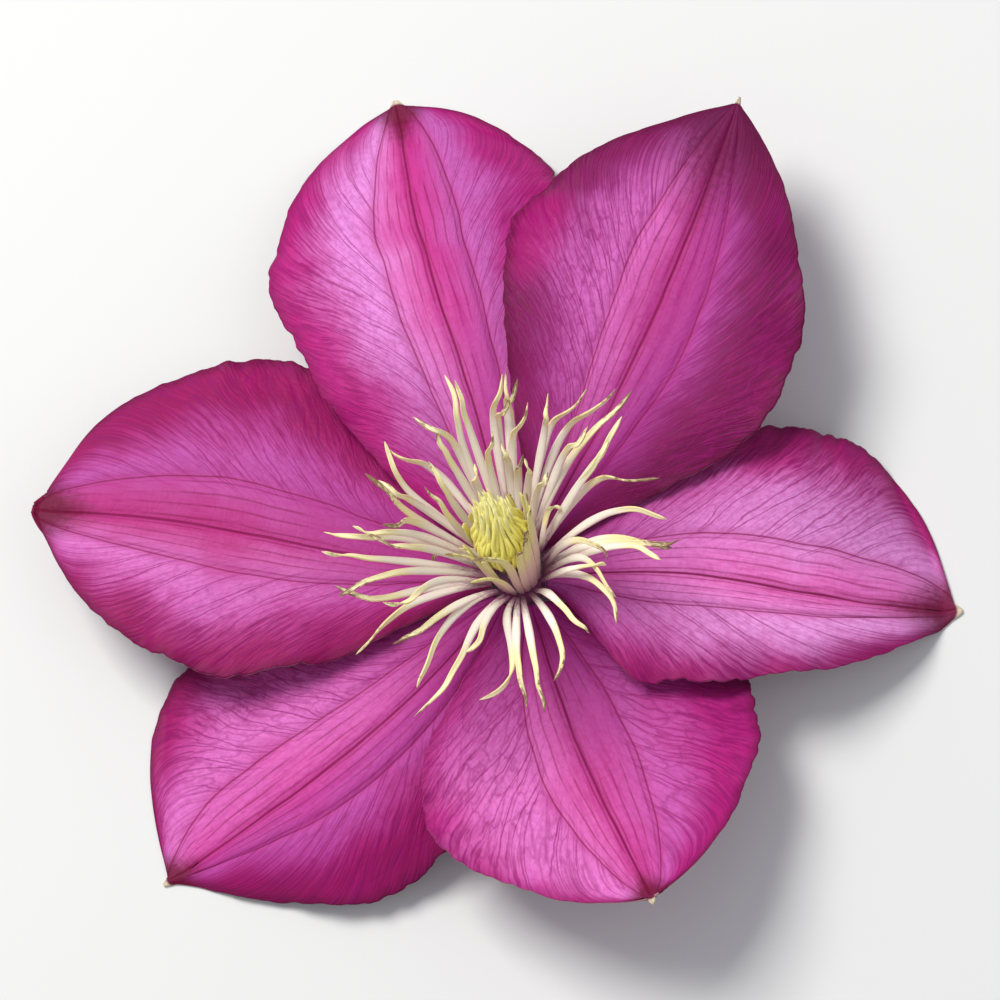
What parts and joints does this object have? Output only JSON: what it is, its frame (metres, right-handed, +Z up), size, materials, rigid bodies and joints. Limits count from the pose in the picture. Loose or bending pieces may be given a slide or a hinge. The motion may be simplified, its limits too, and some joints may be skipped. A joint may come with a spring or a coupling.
{
  "type": "clematis flower",
  "caption": "Open star of broad overlapping sepals with grooved middle bars round a boss of strap-shaped stamens and a brush of styles; lies face up on its drooping tips",
  "frame": {"origin": "on the surface the flower lies on, under the middle of its outline", "axes": "+Z up, the way the flower faces; +Y to the top of the picture and +X to its right"},
  "size_m": [0.1158, 0.1156, 0.0288],
  "materials": {
    "sepal": null,
    "stamen": null,
    "style": "matt, yellow-green, finely haired",
    "stalk": "matt green stalk of a half-woody climber, downy"
  },
  "bodies": {
    "root": {"sepal_upper_left": "sepal", "sepal_upper_right": "sepal", "sepal_right": "sepal", "sepal_bottom": "sepal", "sepal_lower_left": "sepal", "sepal_left": "sepal", "stamens": "stamen", "pistils": "style", "receptacle": "stalk"}
  },
  "joints": []
}
